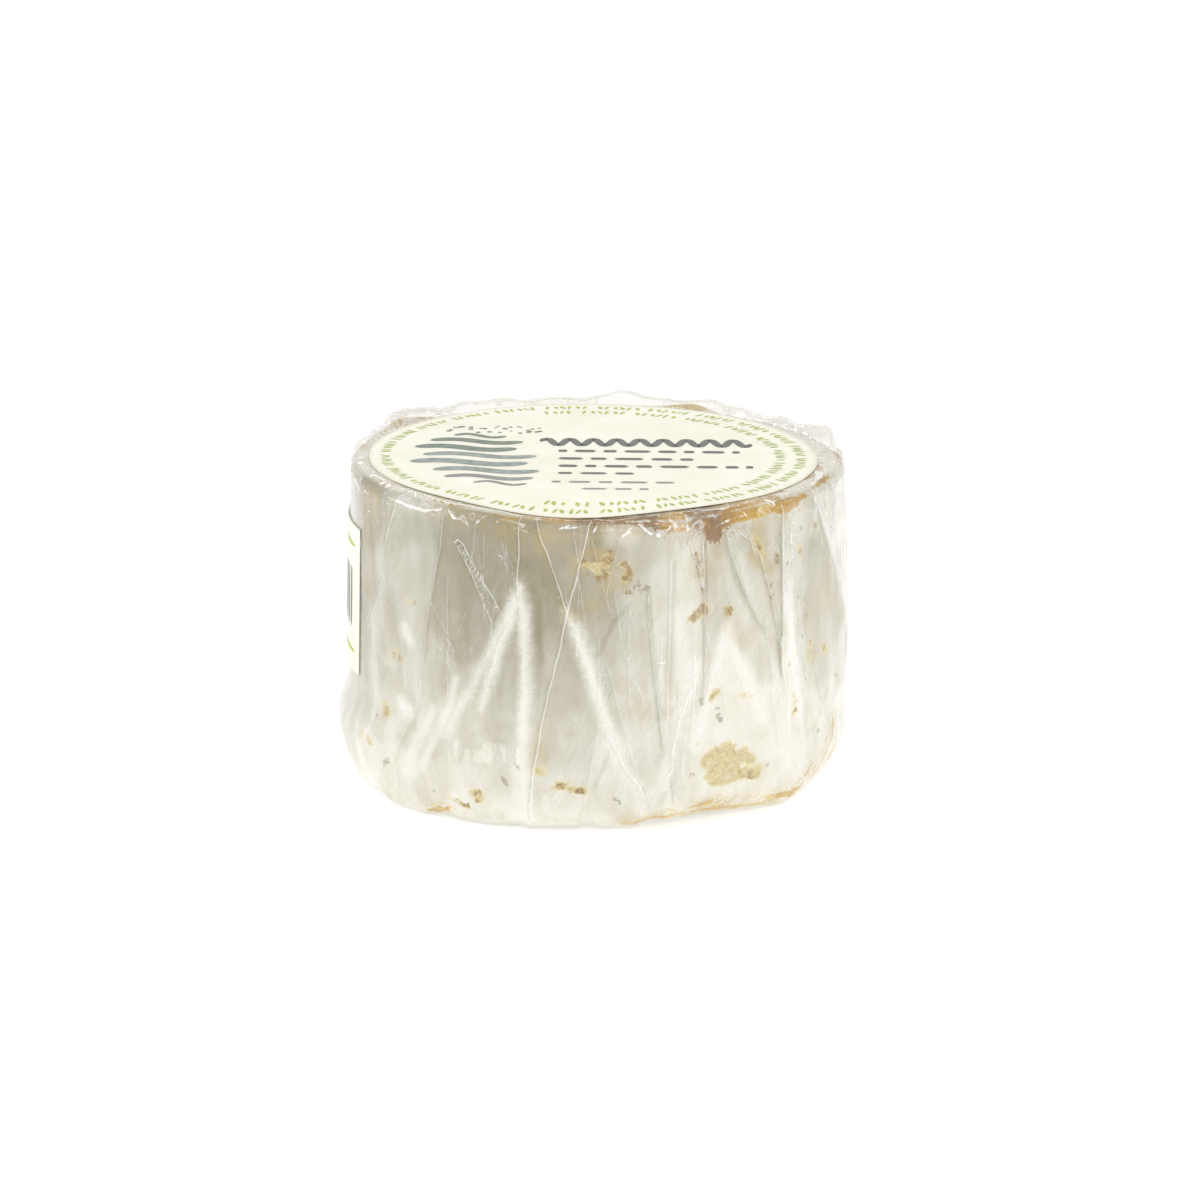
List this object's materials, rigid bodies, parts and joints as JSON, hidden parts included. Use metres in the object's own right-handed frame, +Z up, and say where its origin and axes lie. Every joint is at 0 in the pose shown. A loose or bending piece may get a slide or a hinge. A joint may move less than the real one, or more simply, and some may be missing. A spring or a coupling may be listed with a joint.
{
  "type": "cheese wheel",
  "caption": "Small white-rind soft cheese wheel, wrapped in clear film, with a round paper label on top and a paper label on its side.",
  "frame": {"origin": "middle of the flat base that the wheel stands on", "axes": "+Z up through the wheel; -Y towards its front, +X to its right, the side label on -X"},
  "size_m": [0.088, 0.0878, 0.0564],
  "materials": {
    "white_rind": "matt white bloomy rind, ochre where the bloom is worn off",
    "clear_film": "thin clear wrap, glossy, creased",
    "label_paper": "uncoated cream paper, printed"
  },
  "bodies": {
    "root": {"wrapped_cheese": "white_rind", "top_label": "label_paper", "side_label": "label_paper"}
  },
  "joints": []
}
